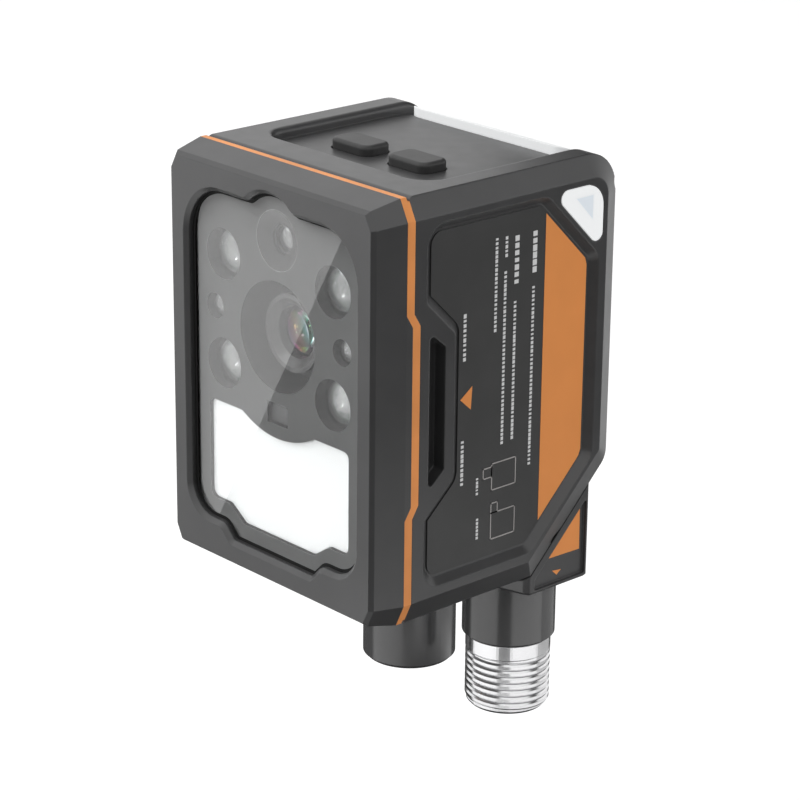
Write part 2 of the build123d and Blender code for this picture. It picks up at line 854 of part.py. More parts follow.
def block_plan(inset):
    """Plan of the block, bulging in front of and behind the connectors."""
    side = block_half - inset
    near = block_depth - inset
    bulge = block_bulge - inset
    quarter = [(side, near - 0.5), (side - 0.9, near + 0.1), (block_half - 6.8, bulge)]
    half = quarter + [(-x, y) for x, y in reversed(quarter)]
    whole = half + [(-x, -y) for x, y in half]
    return outline([(x, swivel_y + y) for x, y in whole], 0.4)


def panel_outline():
    """Recessed panel on each end of the block."""
    low = block_low + 0.6
    rear = swivel_y + block_depth - 0.8
    front = swivel_y - block_depth + 1.3
    line = cut_sum + gap * math.sqrt(2) + 1.5
    return outline([(front, low), (rear, low), (rear, rear - line), (front, front - line)], 0.3)


def make_connector_block():
    tall = 2 * block_bulge + block_reach
    lump = Pos(0, 0, block_low) * extrude(block_plan(0), amount=tall)
    lump = chamfer(lump.edges().group_by(Axis.Z)[0], 0.35)
    lump &= slope_wedge(gap)
    hollow = Pos(0, 0, block_low + block_floor) * extrude(block_plan(block_wall), amount=tall)
    hollow &= slope_wedge(gap + flange_thickness)
    for sx in (1, -1):
        hollow -= extrude(swivel * Pos(sx * ear_x, ear_y) * Circle(1.9), amount=4 * block_depth)
    lump -= hollow
    lump -= extrude(swivel.offset(gap) * flange_plan(slack), amount=flange_thickness)
    for sx in (1, -1):
        lump -= extrude(
            swivel.offset(gap) * Pos(sx * ear_x, ear_y) * Circle(0.8), amount=flange_thickness + 3
        )
        panel = prism(panel_outline(), block_half - 0.5, block_half + 1)
        lump -= panel if sx > 0 else mirror(panel, about=Plane.YZ)
        lump -= rod_z(neck_radius + running, block_low - 1, block_low + 3, sx * connector_x, swivel_y)
    keep("connector_block", lump)


def flange_plan(grow):
    """Disc round the spigot with an ear on each side for a screw."""
    plan = Circle(flange_radius + grow)
    ears = RectangleRounded(2 * ear_x + 5.2 + 2 * grow, 4.6 + 2 * grow, 1.6)
    return plan + Pos(0, ear_y) * ears


def make_swivel():
    """Hollow spigot that turns in the housing, kept there by a ring."""
    face = swivel.offset(gap)
    flange = extrude(face * flange_plan(0), amount=flange_thickness)
    length = cut_wall + gap + running
    flange += extrude(swivel.offset(-cut_wall - running) * Circle(spigot_radius), amount=length)
    flange += extrude(swivel.offset(running) * Circle(spigot_radius + 0.7), amount=gap)
    pin = Circle(stop_pin_radius)
    flange += extrude(swivel.offset(-stop_depth) * Pos(-stop_radius, 0) * pin, amount=stop_depth + gap)
    flange -= extrude(swivel.offset(-2 * cut_wall) * Circle(wire_radius), amount=4 * cut_wall)
    groove = Circle(spigot_radius + 1) - Circle(spigot_radius - ring_groove)
    flange -= extrude(swivel.offset(-cut_wall / 2 - 0.5) * groove, amount=1.0)
    for sx in (1, -1):
        hole = swivel.offset(gap) * Pos(sx * ear_x, ear_y) * Circle(1.0)
        flange -= extrude(hole, amount=flange_thickness)
        head = swivel.offset(gap) * Pos(sx * ear_x, ear_y) * Circle(1.7)
        flange -= extrude(head, amount=1.0)
    for place in turn_places:
        hole = swivel.offset(-cut_wall - running) * place * Circle(0.5)
        flange -= extrude(hole, amount=2.4)
    keep("swivel_flange", flange)
    seal = swivel.offset(-cut_wall / 2) * Torus(spigot_radius - ring_groove / 2, 0.42)
    keep("swivel_seal", seal)
    ring = Circle(retainer_radius) - Circle(wire_radius)
    start = swivel.offset(-cut_wall - running - retainer_thickness)
    retainer = extrude(start * ring, amount=retainer_thickness)
    screws = []
    for place in turn_places:
        retainer -= extrude(start * place * Circle(0.6), amount=retainer_thickness)
        screw = extrude(start * place * Circle(0.5), amount=retainer_thickness + 2.0)
        head = swivel.offset(-cut_wall - running - retainer_thickness - 0.6)
        screws.append(screw + extrude(head * place * Circle(0.95), amount=0.6))
    keep("swivel_retainer", retainer)
    keep("retainer_screws", gather(screws))
    screws = []
    for sx in (1, -1):
        spot = Pos(sx * ear_x, ear_y)
        screw = extrude(swivel.offset(gap) * spot * Circle(0.8), amount=flange_thickness + 2.6)
        screw += extrude(swivel.offset(gap + 0.1) * spot * Circle(1.6), amount=0.9)
        screws.append(screw)
    keep("flange_screws", gather(screws))


# Round connectors

def make_connector_board():
    low = block_low + 1.7
    half = block_half - 4.3
    board = box(-half, half, swivel_y - 2.4, swivel_y + 4.4, low, low + 1.0)
    keep("connector_board", board)


def make_power_connector():
    """Male round connector: collar, threaded shell, insert and four pins."""
    x, y = connector_x, swivel_y
    end = block_low - collar_length
    tip = end - shell_length
    collar = rod_z(collar_radius, end, block_low, x, y)
    collar = chamfer(collar.edges().group_by(Axis.Z)[0], 0.4)
    collar -= rod_z(neck_radius + running, end, block_low, x, y)
    keep("power_collar", collar)
    shell = rod_z(shell_radius, tip, end, x, y)
    shell = chamfer(shell.edges().group_by(Axis.Z)[0], 0.5)
    shell += rod_z(neck_radius, end, block_low + 1.7, x, y)
    bore = insert_radius
    shell -= rod_z(bore + running, tip, end + 1, x, y)
    shell -= rod_z(bore - insert_step, tip, block_low + 2, x, y)
    shell += box(x - 0.55, x + 0.55, y - bore - 0.3, y - bore + 0.55, tip + 1.0, end - 2)
    keep("power_shell", shell)
    insert = rod_z(bore, end - 2, end + 1, x, y)
    insert += rod_z(bore - insert_step - running, end, block_low + 1.7, x, y)
    pins = []
    for k in range(4):
        angle = math.radians(45 + 90 * k)
        px = x + pin_circle * math.cos(angle)
        py = y + pin_circle * math.sin(angle)
        insert -= rod_z(pin_radius, end - 2, block_low + 1.7, px, py)
        pin = rod_z(pin_radius, tip + 1.6, block_low + 1.7, px, py)
        pins.append(chamfer(pin.edges().group_by(Axis.Z)[0], 0.2))
    keep("power_insert", insert)
    keep("power_pins", gather(pins))


def make_network_connector():
    """Female round connector: threaded sleeve, insert and eight contacts."""
    x, y = -connector_x, swivel_y
    tip = block_low - sleeve_length
    sleeve = rod_z(sleeve_radius, tip, block_low, x, y)
    sleeve = chamfer(sleeve.edges().group_by(Axis.Z)[0], 0.5)
    sleeve += rod_z(neck_radius, block_low - 1, block_low + 1.7, x, y)
    sleeve -= rod_z(network_bore, tip, tip + 11.0, x, y)
    sleeve -= rod_z(insert_radius - insert_step, tip, block_low + 2, x, y)
    keep("network_sleeve", sleeve)
    core = insert_radius - insert_step - running
    insert = rod_z(core, tip + 0.8, block_low + 1.7, x, y)
    contacts = []
    for k in range(8):
        angle = math.radians(45 * k)
        px = x + contact_circle * math.cos(angle)
        py = y + contact_circle * math.sin(angle)
        insert -= rod_z(contact_radius, tip + 0.8, block_low + 1.7, px, py)
        tube = rod_z(contact_radius, tip + 1.2, block_low + 1.7, px, py)
        contacts.append(tube - rod_z(contact_radius - gap, tip + 1.2, tip + 7.0, px, py))
    keep("network_insert", insert)
    keep("network_contacts", gather(contacts))


lump = body_lump()
make_front_cover(lump)
make_front_window()
make_front_seal(lump)
make_rear_housing(lump)
make_cover_screws()
make_light_plate()
make_light_diffuser()
make_led_lenses()
make_distance_sensor()
make_aimer()
make_led_board()
make_lens()
make_boards()
make_lights()
make_keys()
make_label()
make_connector_block()
make_swivel()
make_connector_board()
make_power_connector()
make_network_connector()

os.makedirs("parts", exist_ok=True)
for name, shape in made.items():
    export_step(shape, f"parts/{name}.step")
print(len(made), "pieces written")
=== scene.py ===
# %% [markdown]
# A machine vision camera is a small sealed box that reads codes on a production
# line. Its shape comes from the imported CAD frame, and this lesson dresses that
# frame: it adds the fine threads, printed fields and lens detail that a CAD
# model leaves out, and gives each surface its finish.

# %% Load the frame
import math

import bmesh
import bpy
from mathutils import Matrix, Vector


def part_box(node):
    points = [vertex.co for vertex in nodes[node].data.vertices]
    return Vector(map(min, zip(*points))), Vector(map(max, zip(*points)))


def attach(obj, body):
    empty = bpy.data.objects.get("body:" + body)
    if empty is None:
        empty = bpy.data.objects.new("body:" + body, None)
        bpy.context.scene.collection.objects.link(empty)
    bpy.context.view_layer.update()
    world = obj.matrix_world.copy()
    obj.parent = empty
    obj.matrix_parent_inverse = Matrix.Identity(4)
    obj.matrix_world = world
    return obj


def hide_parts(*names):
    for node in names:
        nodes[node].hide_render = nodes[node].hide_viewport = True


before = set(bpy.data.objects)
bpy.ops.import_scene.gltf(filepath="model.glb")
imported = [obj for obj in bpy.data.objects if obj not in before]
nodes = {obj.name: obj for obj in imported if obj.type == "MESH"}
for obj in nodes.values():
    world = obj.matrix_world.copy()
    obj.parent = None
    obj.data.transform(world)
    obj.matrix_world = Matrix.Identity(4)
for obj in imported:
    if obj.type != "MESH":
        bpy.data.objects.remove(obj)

scene = bpy.context.scene
scene.view_settings.view_transform = "Standard"
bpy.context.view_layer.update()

# %% [markdown]
# The sizes below were measured from the window's face and the middle of the
# body's height, in millimetres. The frame's origin is the mount on the rear
# face, so one small helper turns a measured point into a point of the frame.

# %% Measured points
BODY_DEPTH = 43.5
MOUNT_ABOVE_MID = 4.2
SWIVEL_Y = 35.0
CONNECTOR_X = 10.25
BLOCK_LOW = -31.85
TIP = -52.15


def at(x, y, z):
    return Vector((x, y - BODY_DEPTH, z - MOUNT_ABOVE_MID)) / 1000


lowest = min(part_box(n)[0][2] for n in nodes)
print("lowest point at", round(lowest * 1000, 2), "mm")

# %% [markdown]
# The photograph was taken with a long lens from the front right, about twenty
# degrees above the horizon. The camera is placed by its bearing, its height
# angle and its distance along the line of sight, then moved sideways in its own
# picture plane so that the body falls where it should.

# %% The camera
BEARING, HEIGHT_ANGLE, TILT = 47.641, 19.920, 0.619
ASIDE, ABOVE, AWAY = 17.204, -1.770, 372.524
SENSOR_MM = 36
FOCAL_PIXELS, PICTURE_PIXELS = 2855.5, 800


def place_camera():
    a, e, t = (math.radians(v) for v in (BEARING, HEIGHT_ANGLE, TILT))
    back = Vector((math.sin(a) * math.cos(e), -math.cos(a) * math.cos(e), math.sin(e)))
    level = (-back).cross(Vector((0, 0, 1))).normalized()
    upright = level.cross(-back)
    right = math.cos(t) * level + math.sin(t) * upright
    up = math.cos(t) * upright - math.sin(t) * level
    centre = right * ASIDE + up * ABOVE + back * AWAY
    data = bpy.data.cameras.new("View")
    data.lens = FOCAL_PIXELS / PICTURE_PIXELS * SENSOR_MM
    data.sensor_width = SENSOR_MM
    data.clip_start = 0.01
    view = bpy.data.objects.new("View", data)
    scene.collection.objects.link(view)
    turn = Matrix((right, up, back)).transposed().to_4x4()
    view.matrix_world = Matrix.Translation(at(*centre)) @ turn
    scene.camera = view
    print("camera is", round(centre.length), "mm from the window's face")


place_camera()

# %% [markdown]
# Product pictures like this one are lit from large soft panels. The main panel
# hangs over the front left and a weaker one stands at the rear right, so each
# face gets its own tone. The world fills the shadows softly. A ray from the
# camera, from gloss or through glass that hits nothing meets plain white.

# %% Light
FILL = 0.21
AIM = Vector((0, -0.02, 0))


def soft_panel(name, place, width, height, power):
    data = bpy.data.lights.new(name, "AREA")
    data.shape = "RECTANGLE"
    data.size = width
    data.size_y = height
    data.energy = power
    lamp = bpy.data.objects.new(name, data)
    scene.collection.objects.link(lamp)
    lamp.location = place
    lamp.rotation_euler = (AIM - Vector(place)).to_track_quat("-Z", "Y").to_euler()
    lamp.visible_glossy = False
    print(name, "gives", power, "W")


def seen_ray(tree):
    """1 for rays from the camera, from gloss and through glass, else 0."""
    path = tree.nodes.new("ShaderNodeLightPath")
    found = path.outputs["Is Camera Ray"]
    for name in ("Is Glossy Ray", "Is Transmission Ray"):
        either = tree.nodes.new("ShaderNodeMath")
        either.operation = "MAXIMUM"
        tree.links.new(found, either.inputs[0])
        tree.links.new(path.outputs[name], either.inputs[1])
        found = either.outputs[0]
    return found


def white_world():
    """Soft grey fill for the object, plain white behind it."""
    world = bpy.data.worlds.new("Studio")
    scene.world = world
    world.use_nodes = True
    tree = world.node_tree
    fill = tree.nodes["Background"]
    fill.inputs["Color"].default_value = (1, 1, 1, 1)
    fill.inputs["Strength"].default_value = FILL
    clear = tree.nodes.new("ShaderNodeBackground")
    clear.inputs["Color"].default_value = (1, 1, 1, 1)
    mix = tree.nodes.new("ShaderNodeMixShader")
    tree.links.new(seen_ray(tree), mix.inputs["Fac"])
    tree.links.new(fill.outputs[0], mix.inputs[1])
    tree.links.new(clear.outputs[0], mix.inputs[2])
    tree.links.new(mix.outputs[0], tree.nodes["World Output"].inputs["Surface"])


soft_panel("Panel_over", (-0.40, -0.46, 0.50), 0.8, 0.8, 7.0)
soft_panel("Panel_right", (0.62, 0.40, 0.24), 0.35, 0.5, 3.0)
white_world()

# %% [markdown]
# The floor is a pale sheet far larger than the object. It lies a little below
# the connectors, as the camera hangs on its mount. A picture on white shows no
# edge of it, so it glows for the rays that the camera follows.

# %% The floor
FLOOR_DROP = 0.03
FLOOR_Z = lowest - FLOOR_DROP
REACH = 3.0
PAPER_TONE, PAPER_GLOW = 0.4, 0.76
FOUR_WAYS = ((-1, -1), (1, -1), (1, 1), (-1, 1))
ONE_FACE = [(0, 1, 2, 3)]


def stage_sheet(name, corners, faces, paper):
    mesh = bpy.data.meshes.new(name)
    mesh.from_pydata(corners, [], faces)
    sheet = bpy.data.objects.new(name, mesh)
    scene.collection.objects.link(sheet)
    mesh.materials.append(paper)
    print(name, "has", len(faces), "faces")
    return sheet


def pale_paper():
    paper = bpy.data.materials.new("Pale_paper")
    paper.use_nodes = True
    tree = paper.node_tree
    matt = tree.nodes["Principled BSDF"]
    matt.inputs["Base Color"].default_value = (PAPER_TONE, PAPER_TONE, PAPER_TONE, 1)
    matt.inputs["Roughness"].default_value = 0.9
    glow = tree.nodes.new("ShaderNodeEmission")
    glow.inputs["Color"].default_value = (PAPER_GLOW, PAPER_GLOW, PAPER_GLOW, 1)
    add = tree.nodes.new("ShaderNodeAddShader")
    tree.links.new(seen_ray(tree), glow.inputs["Strength"])
    tree.links.new(matt.outputs[0], add.inputs[0])
    tree.links.new(glow.outputs[0], add.inputs[1])
    tree.links.new(add.outputs[0], tree.nodes["Material Output"].inputs["Surface"])
    return paper


floor_corners = [(sx * REACH, sy * REACH, FLOOR_Z) for sx, sy in FOUR_WAYS]
stage_sheet("Floor", floor_corners, ONE_FACE, pale_paper())

# %% [markdown]
# A photographer gives chrome, gloss and glass some card to mirror, or they
# would look like chalk. Here sheets of card lie on the floor round the camera,
# in sectors seen from the male connector's axis: a grey wedge points at the
# camera and draws the dark stripe down each connector, black lies under and
# behind them, and pale and black sectors darken the right side. Only gloss sees
# a card, and it casts no shadow.

# %% Cards on the floor
CARD_LIFT = 0.0005
CARD_Z = FLOOR_Z + CARD_LIFT
SECTOR_STEPS = 24


def card_stock(name, tone, glow=0.0):
    material = bpy.data.materials.new(name)
    material.use_nodes = True
    shader = material.node_tree.nodes["Principled BSDF"]
    shader.inputs["Base Color"].default_value = (tone, tone, tone, 1)
    shader.inputs["Roughness"].default_value = 1.0
    shader.inputs["Emission Color"].default_value = (1, 1, 1, 1)
    shader.inputs["Emission Strength"].default_value = glow
    return material


black = card_stock("Black_card", 0.02)
grey = card_stock("Grey_card", 0.16)
pale_grey = card_stock("Pale_grey_card", 0.6)


def gloss_card(name, corners, faces=ONE_FACE, stock=black):
    """A card that gloss alone sees."""
    card = stage_sheet(name, corners, faces, stock)
    for ray in ("camera", "diffuse", "transmission", "shadow"):
        setattr(card, "visible_" + ray, False)
    return card


def floor_sector(name, near, far, start, end, stock=black):
    """Part of a ring on the floor, round the axis of the male connector."""
    centre = at(CONNECTOR_X, SWIVEL_Y, 0)
    corners = []
    for k in range(SECTOR_STEPS + 1):
        a = math.radians(start + (end - start) * k / SECTOR_STEPS)
        for r in (near, far):
            corners.append((centre.x + r * math.cos(a), centre.y + r * math.sin(a), CARD_Z))
    faces = [(2 * k, 2 * k + 1, 2 * k + 3, 2 * k + 2) for k in range(SECTOR_STEPS)]
    gloss_card(name, corners, faces, stock)


floor_sector("Card_to_camera", 0.075, 0.16, -70, -37, grey)
floor_sector("Card_under", 0.0, 0.058, -180, 180)
floor_sector("Card_behind", 0.058, 0.14, 100, 212)
floor_sector("Card_aside", 0.075, 0.16, 40, 100, pale_grey)
floor_sector("Card_right", 0.16, 1.2, -75, 75)

# %% [markdown]
# The slanting line in the window is the edge of one more black card on the
# floor. A bright card next to it lightens the right of the front face. The lens
# of each lamp shows a small glint, from a glowing triangle that glass sees in
# place of gloss. Two more black cards are clear of the floor: one stands at the
# left rear and one hangs high at the rear right.

# %% Cards for the window, the lamps and the rear
EDGE = (Vector((-0.113, -0.118, CARD_Z)), Vector((-0.664, -0.747, 0)), Vector((0.747, -0.664, 0)))
LEFT_REAR = (Vector((-0.104, 0.073, 0.026)), Vector((0.674, 0.739, 0)), Vector((0, 0, 1)))
HIGH = (Vector((0.2401, 0.4438, 0.4865)), Vector((0.264, -0.1425, 0)),
        Vector((0.0726, 0.13442, -0.1584)))
GLINT = ((-0.110, -0.184, -0.080), (-0.082, -0.204, -0.080), (-0.082, -0.204, -0.050))


def on_plane(plane, corners):
    """Points of a plane, given as its start and two ways in which to go."""
    start, one_way, other_way = plane
    return [start + one_way * i + other_way * j for i, j in corners]


gloss_card("Card_window", on_plane(EDGE, ((0, 0), (0.35, 0), (0.35, 0.07), (-0.02, 0.07))))
gloss_card("Card_bright",
           on_plane(EDGE, ((-0.02, 0.07), (0.35, 0.07), (0.35, 0.22), (-0.06, 0.22))),
           stock=card_stock("Bright_card", 0.8, glow=1.8))
glint = gloss_card("Card_glint", GLINT, [(0, 1, 2)], card_stock("Glint_card", 0.8, glow=30.0))
glint.visible_transmission = True
glint.visible_glossy = False
gloss_card("Card_left_rear",
           on_plane(LEFT_REAR, ((0.022, 0), (0.2, 0), (0.2, 0.18), (0.022, 0.18))))
gloss_card("Card_high", on_plane(HIGH, FOUR_WAYS))

# %% [markdown]
# Most of the finishes here are one recipe with different numbers: a colour that
# varies a little, a roughness that varies with it, and a fine grain as a bump.
# The noise reads Object coordinates, which are metres, so a scale of 2500 gives
# grains about half a millimetre apart. An edge size rounds the edges softly.

# %% A finish with grain
CLOUD_SCALE, ROUGH_SCALE = 120.0, 400.0
ROUGH_SPREAD = 0.04
BUMP_HEIGHT = 0.00005


def finish(name, colour, rough, grain=0.0, grain_scale=2500.0, mottle=0.1, edge=0.0, metal=0.0,
           **extra):
    material = bpy.data.materials.new(name)
    material.use_nodes = True
    tree = material.node_tree
    shader = tree.nodes["Principled BSDF"]
    place = tree.nodes.new("ShaderNodeTexCoord")

    def noise(scale, detail):
        node = tree.nodes.new("ShaderNodeTexNoise")
        node.inputs["Scale"].default_value = scale
        node.inputs["Detail"].default_value = detail
        tree.links.new(place.outputs["Object"], node.inputs["Vector"])
        return node.outputs["Fac"]

    ramp = tree.nodes.new("ShaderNodeValToRGB")
    darker, lighter = ramp.color_ramp.elements
    darker.position, lighter.position = 0.3, 0.7
    darker.color = (*[c * (1 - mottle) for c in colour], 1)
    lighter.color = (*[min(1, c * (1 + mottle)) for c in colour], 1)
    tree.links.new(noise(CLOUD_SCALE, 3.0), ramp.inputs["Fac"])
    tree.links.new(ramp.outputs["Color"], shader.inputs["Base Color"])
    spread = tree.nodes.new("ShaderNodeMapRange")
    spread.inputs["To Min"].default_value = max(0.02, rough - ROUGH_SPREAD)
    spread.inputs["To Max"].default_value = rough + ROUGH_SPREAD
    tree.links.new(noise(ROUGH_SCALE, 2.0), spread.inputs["Value"])
    tree.links.new(spread.outputs[0], shader.inputs["Roughness"])
    shader.inputs["Metallic"].default_value = metal
    for key, value in extra.items():
        shader.inputs[key.replace("_", " ")].default_value = value
    normal = None
    if edge:
        soft = tree.nodes.new("ShaderNodeBevel")
        soft.samples = 6
        soft.inputs["Radius"].default_value = edge
        normal = soft.outputs["Normal"]
    if grain:
        bump = tree.nodes.new("ShaderNodeBump")
        bump.inputs["Strength"].default_value = grain
        bump.inputs["Distance"].default_value = BUMP_HEIGHT
        tree.links.new(noise(grain_scale, 2.0), bump.inputs["Height"])
        if normal:
            tree.links.new(normal, bump.inputs["Normal"])
        normal = bump.outputs["Normal"]
    if normal:
        tree.links.new(normal, shader.inputs["Normal"])
    return material


def wear(material, *names):
    for name in names:
        nodes[name].data.materials.clear()
        nodes[name].data.materials.append(material)
    print(material.name, "on", ", ".join(names))


# %% [markdown]
# The cover and the housing are die castings with a fine satin powder coat. The
# coat rounds every edge a little, which the edge setting imitates. The cover is
# a touch smoother than the housing.

# %% Painted castings
COAT = (0.048, 0.048, 0.049)
body_paint = finish("Satin_coat", COAT, 0.36, grain=0.05, edge=0.0003, Specular_IOR_Level=0.8)
cover_paint = finish("Cover_coat", COAT, 0.36, grain=0.04, edge=0.00018, Specular_IOR_Level=0.8)
wear(body_paint, "rear_housing", "connector_block")
wear(cover_paint, "front_cover")

# %% [markdown]
# The joint is sealed by a moulded silicone gasket, which shows as an orange line
# all round. Silicone is matt and a little uneven, so its grain is coarser.

# %% Gasket
gasket = finish("Orange_gasket", (0.90, 0.34, 0.10), 0.45, grain=0.1, grain_scale=1800.0,
                edge=0.00012)
wear(gasket, "front_seal")

# %% [markdown]
# The window is a flat clear pane of a hard, bright glass such as sapphire. Glass
# bends light, so lamps can't reach what is behind it in a path tracer. The usual
# answer is to let the rays that look for lamps pass straight through, which a
# thin pane nearly does anyway. A thin film tints the camera's own lens.

# %% Window and lens glass
def clear_glass(name, tint, rough=0.0, ior=1.5, film=0.0, coat=0.0):
    material = bpy.data.materials.new(name)
    material.use_nodes = True
    tree = material.node_tree
    shader = tree.nodes["Principled BSDF"]
    shader.inputs["Base Color"].default_value = (*tint, 1)
    shader.inputs["Roughness"].default_value = rough
    shader.inputs["IOR"].default_value = ior
    shader.inputs["Transmission Weight"].default_value = 1.0
    shader.inputs["Thin Film Thickness"].default_value = film
    shader.inputs["Coat Weight"].default_value = coat
    shader.inputs["Coat Roughness"].default_value = 0.02
    through = tree.nodes.new("ShaderNodeBsdfTransparent")
    through.inputs["Color"].default_value = (*tint, 1)
    mix = tree.nodes.new("ShaderNodeMixShader")
    path = tree.nodes.new("ShaderNodeLightPath")
    tree.links.new(path.outputs["Is Shadow Ray"], mix.inputs["Fac"])
    tree.links.new(shader.outputs[0], mix.inputs[1])
    tree.links.new(through.outputs[0], mix.inputs[2])
    tree.links.new(mix.outputs[0], tree.nodes["Material Output"].inputs["Surface"])
    return material


wear(clear_glass("Clear_pane", (0.97, 0.975, 0.975), ior=1.75), "front_window")
wear(clear_glass("Lamp_lens", (0.62, 0.63, 0.63), rough=0.25, coat=1.0),
     "led_lens_1", "led_lens_2", "led_lens_3", "led_lens_4", "pilot_lens_left",
     "pilot_lens_right", "aimer_lens")
wear(clear_glass("Coated_lens", (0.80, 0.80, 0.82), ior=1.6, film=860.0), "front_lens")
wear(clear_glass("Inner_coated_lens", (0.70, 0.75, 0.70), ior=1.6, film=700.0), "rear_lens")

# %% [markdown]
# A thin black ring just in front of the pane's edge is painted shade: it stands for
# the dark gap round the pane. The ring follows the opening in the cover, so its outline
# is read from a merged copy of the cover's own mesh and then moved inwards.

# %% The painted shade round the pane
PANE_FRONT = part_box("front_window")[0][1]
# width of the painted shade inside the opening and past its edge, and its place just before the
# pane
GAP_SHADE_SHOWS, GAP_SHADE_HIDDEN = 0.00048, 0.00002
GAP_SHADE_FRONT, GAP_SHADE_BACK = PANE_FRONT - 4e-5, PANE_FRONT - 1e-5
MERGE_WITHIN, AT_PANE, CLEAR_OF_PANE, UPRIGHT = 1e-6, 2e-5, 1e-5, 0.05


def is_wall(face):
    """A face of the opening's side, which stands in front of the pane."""
    middle = face.calc_center_median()
    return abs(face.normal.y) < UPRIGHT and middle.y < PANE_FRONT - CLEAR_OF_PANE


def opening_loop():
    """Corners of the cover's opening where it meets the pane, in order."""
    shape = bmesh.new()
    shape.from_mesh(nodes["front_cover"].data)
    bmesh.ops.remove_doubles(shape, verts=shape.verts, dist=MERGE_WITHIN)
    near = {}
    for edge in shape.edges:
        if any(abs(v.co.y - PANE_FRONT) > AT_PANE for v in edge.verts):
            continue
        walls = [face for face in edge.link_faces if is_wall(face)]
        if len(walls) == 1:
            a, b = ((round(v.co.x, 6), round(v.co.z, 6)) for v in edge.verts)
            near.setdefault(a, set()).add(b)
            near.setdefault(b, set()).add(a)
    shape.free()
    loop, last, here = [], None, min(near)
    while here not in loop:
        loop.append(here)
        onward = [p for p in near[here] if p != last]
        last, here = here, onward[0]
    print("opening has", len(loop), "corners of", len(near))
    return loop


def twice_area(loop):
    return sum(a[0] * b[1] - b[0] * a[1] for a, b in zip(loop, loop[1:] + loop[:1]))


def moved_in(loop, amount):
    """The loop moved towards its inside by an amount, corner by corner."""
    side = 1 if twice_area(loop) > 0 else -1
    moved = []
    for before, here, after in zip(loop[-1:] + loop[:-1], loop, loop[1:] + loop[:1]):
        first = (Vector(here) - Vector(before)).normalized()
        second = (Vector(after) - Vector(here)).normalized()
        inward = side * (Vector((-first.y, first.x)) + Vector((-second.y, second.x)))
        inward.normalize()
        moved.append(Vector(here) + inward * amount)
    return moved


def gap_shade_ring():
    loop = opening_loop()
    shape = bmesh.new()
    rows = []
    for amount, y in ((GAP_SHADE_SHOWS, GAP_SHADE_FRONT), (-GAP_SHADE_HIDDEN, GAP_SHADE_FRONT),
                      (-GAP_SHADE_HIDDEN, GAP_SHADE_BACK), (GAP_SHADE_SHOWS, GAP_SHADE_BACK)):
        rows.append([shape.verts.new((p[0], y, p[1])) for p in moved_in(loop, amount)])
    count = len(loop)
    for row, following in zip(rows, rows[1:] + rows[:1]):
        for i in range(count):
            j = (i + 1) % count
            shape.faces.new((row[i], row[j], following[j], following[i]))
    bmesh.ops.recalc_face_normals(shape, faces=shape.faces)
    mesh = bpy.data.meshes.new("pane_gap_shade")
    shape.to_mesh(mesh)
    shape.free()
    # black that stands in for the shade in the gap round the pane
    mesh.materials.append(finish("Gap_shade_black", (0.012, 0.012, 0.012), 0.6,
                                 Specular_IOR_Level=0.15))
    ring = bpy.data.objects.new("pane_gap_shade", mesh)
    scene.collection.objects.link(ring)
    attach(ring, "camera")
    print("pane_gap_shade has", len(mesh.polygons), "faces")


# painted shade: a black ring where the gap round the pane lies in shadow
gap_shade_ring()

# %% [markdown]
# Behind the window lies a dark grey moulding with a fine spark texture. Its
# cups and wells get painted shade: its colour darkens with depth behind its face.
# The white panel under the lens and the status lights are milky plastic with
# small lamps behind them; their glow here is painted light that lifts them to white.

# %% Mouldings with painted shade and panels with painted glow
PLATE_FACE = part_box("light_plate")[0][1]
# depths behind the plate's face over which the painted shade comes in
SHADE_FROM, SHADE_TO = 0.000002, 0.00003


def mix_over(material, share, colour):
    """Mixes a colour over the material's own, by a share from 0 to 1."""
    tree = material.node_tree
    base = tree.nodes["Principled BSDF"].inputs["Base Color"]
    own = base.links[0].from_socket
    mix = tree.nodes.new("ShaderNodeMix")
    mix.data_type = "RGBA"
    mix.inputs["B"].default_value = (*colour, 1)
    tree.links.new(share, mix.inputs["Factor"])
    tree.links.new(own, mix.inputs["A"])
    tree.links.new(mix.outputs["Result"], base)


def shade_by_depth(material, face, dark):
    """Painted shade: mixes the colour towards a dark one behind a plane of constant Y."""
    tree = material.node_tree
    place = tree.nodes.new("ShaderNodeTexCoord")
    parts = tree.nodes.new("ShaderNodeSeparateXYZ")
    tree.links.new(place.outputs["Object"], parts.inputs[0])
    deep = tree.nodes.new("ShaderNodeMapRange")
    deep.inputs["From Min"].default_value = face + SHADE_FROM
    deep.inputs["From Max"].default_value = face + SHADE_TO
    tree.links.new(parts.outputs["Y"], deep.inputs["Value"])
    mix_over(material, deep.outputs[0], dark)


# painted glow: emission that lifts the milky plastic close to white
def milky_painted_glow(name, glow):
    return finish(name, (0.70, 0.71, 0.71), 0.35, mottle=0.01, edge=0.0002,
                  Emission_Color=(0.98, 0.99, 1.0, 1), Emission_Strength=glow)


moulding = finish("Dark_moulding", (0.45, 0.45, 0.45), 0.6, mottle=0.04, Specular_IOR_Level=0.25)
# painted shade: the moulding darkens in its cups and wells, behind its face
shade_by_depth(moulding, PLATE_FACE, (0.018, 0.017, 0.017))
wear(moulding, "light_plate")
dark_plastic = finish("Dark_plastic", (0.035, 0.035, 0.036), 0.4, edge=0.00006)
wear(dark_plastic, "power_insert", "network_insert", "distance_window")
# each milky part gets its own strength of painted glow
wear(milky_painted_glow("White_panel", 0.12), "light_diffuser")
side_milky = milky_painted_glow("Side_light", 0.42)
wear(side_milky, "side_light_left", "side_light_right")
wear(milky_painted_glow("Rear_light", 0.30), "rear_light")

# %% [markdown]
# Each side light has a slightly blue, thinner centre inside a whiter rim. The
# centre is a triangle, so a point lies in it when it is on the inner side of
# three lines at once: the smallest of the three distances is above zero.

# %% Centres of the side lights
CENTRE_CORNERS = [(34.3, 23.8), (38.0, 23.8), (38.0, 19.9)]
CENTRE_BLUE = (0.42, 0.49, 0.56)
SOFT_EDGE = 0.00025


